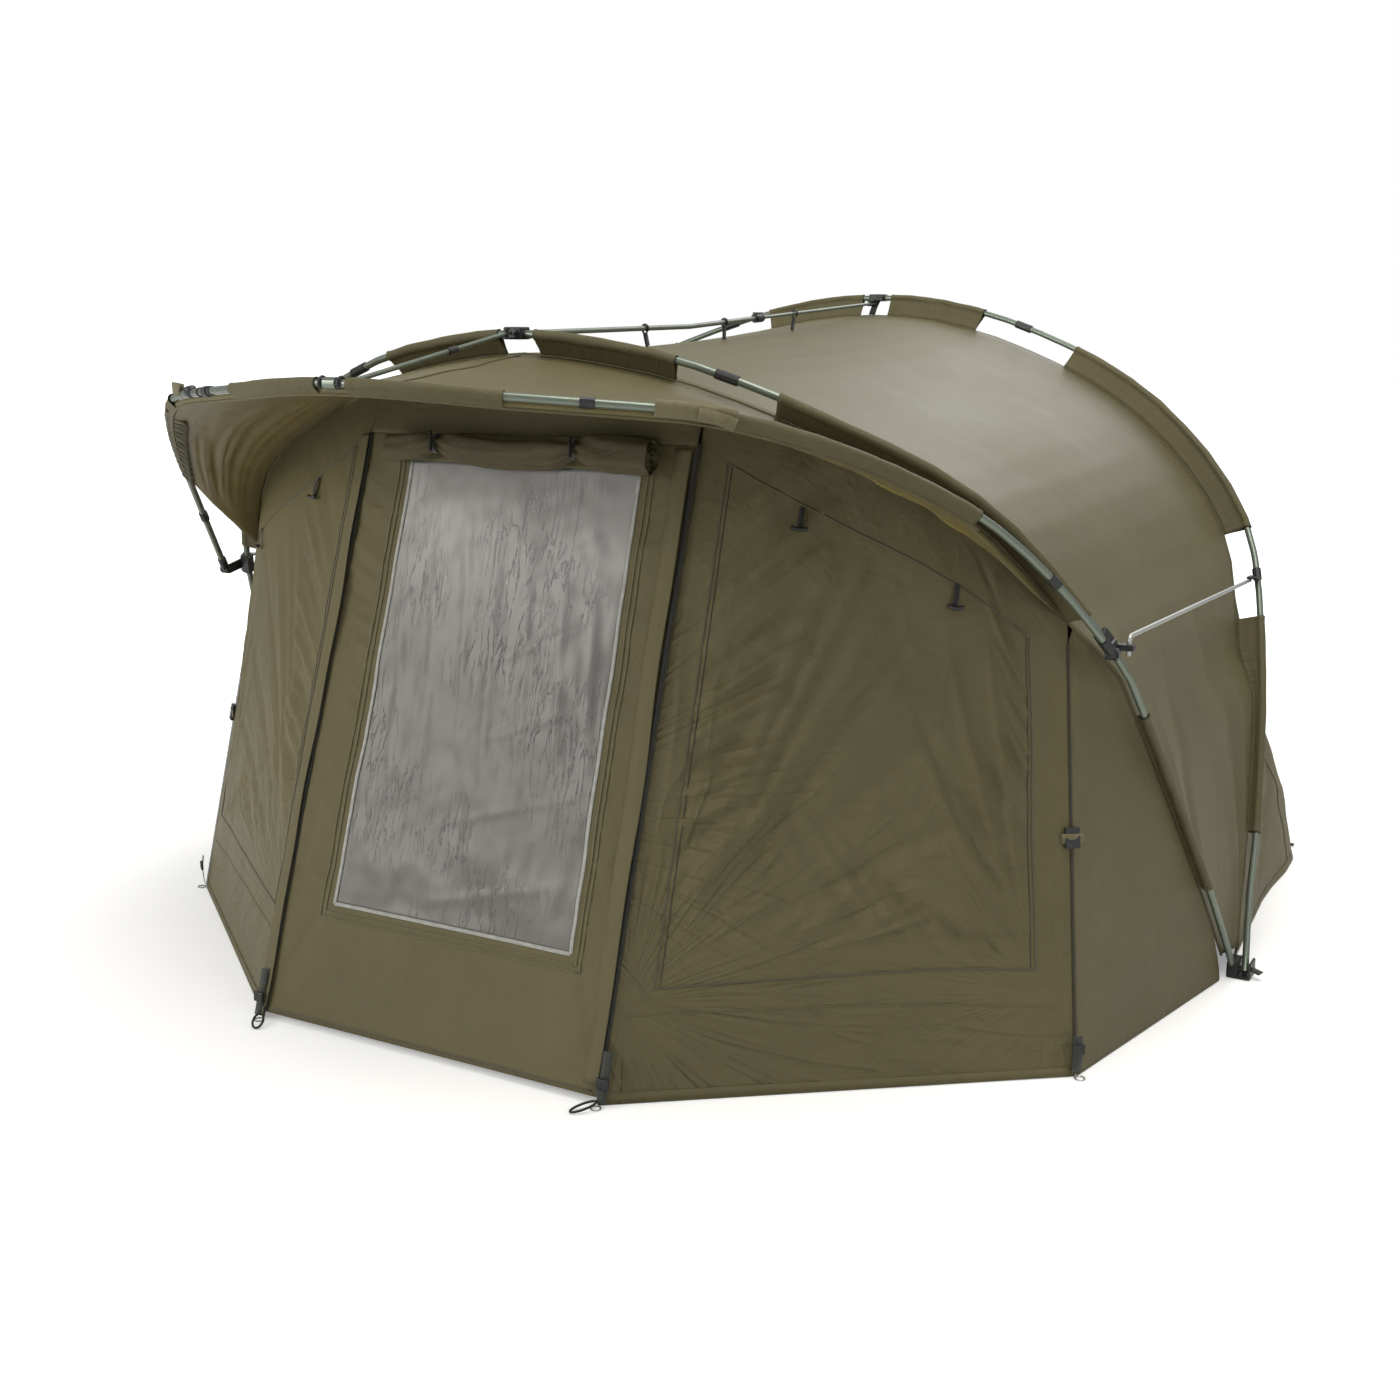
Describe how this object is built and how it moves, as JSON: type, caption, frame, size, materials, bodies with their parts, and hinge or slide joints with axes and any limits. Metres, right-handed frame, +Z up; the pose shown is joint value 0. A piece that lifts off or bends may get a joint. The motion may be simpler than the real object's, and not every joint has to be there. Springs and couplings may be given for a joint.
{
  "type": "bivvy tent",
  "caption": "Dome-shaped bivvy shelter with a hooped tube frame, overhanging front peak, ridge and side bars, zipped front door with clear window, and a full cloth skin.",
  "frame": {"origin": "middle of the bounding box in plan, on the ground plane that the feet stand on", "axes": "+Z up, +X across the tent to the right-hand foot seen from the front, -Y out of the door"},
  "size_m": [3.06, 3.0508, 1.7183],
  "materials": {
    "frame_tube": "satin grey-green anodised tube",
    "bright_bar": "bright satin",
    "black_fitting": "fine matt moulding",
    "wall_cloth": "woven olive, faint sheen",
    "roof_cloth": "coated woven olive, satin sheen",
    "clear_sheet": "clear flexible sheet, slightly wavy",
    "ring_steel": "dull plated wire"
  },
  "bodies": {
    "front_frame": {"foot_block_R": "black_fitting", "front_leg_R": "frame_tube", "elbow_block_R": "black_fitting", "front_rib_side_R": "frame_tube", "front_rib_collar_R": "black_fitting", "front_wall_R": "wall_cloth", "side_panel_R": "wall_cloth", "wall_buckle_R": "black_fitting", "foot_block_L": "black_fitting", "front_leg_L": "frame_tube", "elbow_block_L": "black_fitting", "front_rib_side_L": "frame_tube", "front_rib_collar_L": "black_fitting", "front_wall_L": "wall_cloth", "side_panel_L": "wall_cloth", "wall_buckle_L": "black_fitting", "front_rib_top": "frame_tube", "front_centre_block": "black_fitting", "front_rib_sleeve": "roof_cloth", "door_header": "wall_cloth", "roof": "roof_cloth"},
    "rear_frame": {"rear_rib_R": "frame_tube", "rear_rib_collar_R": "black_fitting", "rear_bar_collar_R": "black_fitting", "rear_rib_L": "frame_tube", "rear_rib_collar_L": "black_fitting", "rear_bar_collar_L": "black_fitting", "rear_rib_top": "frame_tube", "rear_centre_block": "black_fitting", "rear_rib_sleeve": "roof_cloth", "rear_wall": "wall_cloth"},
    "storm_frame": {"storm_knuckle_R": "black_fitting", "storm_pole_R": "frame_tube", "storm_collar_R": "black_fitting", "storm_front_collar_R": "black_fitting", "storm_knuckle_L": "black_fitting", "storm_pole_L": "frame_tube", "storm_collar_L": "black_fitting", "storm_front_collar_L": "black_fitting", "storm_pole_front": "frame_tube", "storm_centre_clip": "black_fitting", "storm_sleeve": "roof_cloth", "peak_canopy": "roof_cloth"},
    "ridge_bar": {"ridge_tube": "bright_bar", "ridge_clamp": "black_fitting"},
    "ridge_rod": {"ridge_rod": "bright_bar"},
    "side_bar_R": {"side_bar_R": "bright_bar"},
    "side_bar_L": {"side_bar_L": "bright_bar"},
    "peak_strut": {"peak_strut": "bright_bar"},
    "door": {"door_panel": "wall_cloth", "door_window": "clear_sheet", "window_cover_roll": "wall_cloth", "door_flap": "wall_cloth"},
    "zip_R": {"zip_slider_R": "black_fitting"},
    "zip_L": {"zip_slider_L": "black_fitting"},
    "ring_front_R": {"peg_ring_front_R": "ring_steel"},
    "ring_front_L": {"peg_ring_front_L": "ring_steel"},
    "ring_side_R": {"peg_ring_side_R": "ring_steel"},
    "ring_side_L": {"peg_ring_side_L": "ring_steel"}
  },
  "joints": [
    {"name": "rear_fold", "type": "hinge", "parent": "front_frame", "child": "rear_frame", "pos_m": [0, 0.13204, 0.024], "axis": [1, 0, 0], "range_deg": [0, 52], "deforming": ["roof", "rear_wall"]},
    {"name": "storm_lift", "type": "hinge", "parent": "front_frame", "child": "storm_frame", "pos_m": [0, -0.51796, 0.932], "axis": [-1, 0, 0], "range_deg": [0, 30], "deforming": ["peak_canopy"]},
    {"name": "ridge_swing", "type": "hinge", "parent": "front_frame", "child": "ridge_bar", "pos_m": [0, -0.84227, 1.61377], "axis": [0, 0, -1], "range_deg": [0, 80]},
    {"name": "ridge_slide", "type": "slide", "parent": "ridge_bar", "child": "ridge_rod", "axis": [0, -0.9985, -0.0551], "range_m": [0, 0.3]},
    {"name": "side_bar_swing_R", "type": "hinge", "parent": "front_frame", "child": "side_bar_R", "pos_m": [1.326, -0.43996, 0.96], "axis": [0, 0, -1], "range_deg": [0, 90]},
    {"name": "side_bar_swing_L", "type": "hinge", "parent": "front_frame", "child": "side_bar_L", "pos_m": [-1.326, -0.43996, 0.96], "axis": [0, 0, 1], "range_deg": [0, 90]},
    {"name": "strut_swing", "type": "hinge", "parent": "front_frame", "child": "peak_strut", "pos_m": [0, -0.91827, 1.61377], "axis": [0, 0, -1], "range_deg": [0, 60]},
    {"name": "door_drop", "type": "hinge", "parent": "front_frame", "child": "door", "pos_m": [0, -1.31546, 0.018], "axis": [1, 0, 0], "range_deg": [0, 104]},
    {"name": "zip_run_R", "type": "slide", "parent": "front_frame", "child": "zip_R", "axis": [-0.0101, 0.3206, 0.9472], "range_m": [0, 1.2]},
    {"name": "zip_run_L", "type": "slide", "parent": "front_frame", "child": "zip_L", "axis": [0.0101, 0.3206, 0.9472], "range_m": [0, 1.2]},
    {"name": "ring_tip_front_R", "type": "hinge", "parent": "front_frame", "child": "ring_front_R", "pos_m": [0.47809, -1.31857, 0.0021], "axis": [-0.9439, -0.3304, 0], "range_deg": [0, 60]},
    {"name": "ring_tip_front_L", "type": "hinge", "parent": "front_frame", "child": "ring_front_L", "pos_m": [-0.47809, -1.31857, 0.0021], "axis": [-0.9439, 0.3304, 0], "range_deg": [0, 60]},
    {"name": "ring_tip_side_R", "type": "hinge", "parent": "front_frame", "child": "ring_side_R", "pos_m": [1.32382, -0.66668, 0.0021], "axis": [-0.5214, -0.8533, 0], "range_deg": [0, 60]},
    {"name": "ring_tip_side_L", "type": "hinge", "parent": "front_frame", "child": "ring_side_L", "pos_m": [-1.32382, -0.66668, 0.0021], "axis": [-0.5214, 0.8533, 0], "range_deg": [0, 60]}
  ]
}
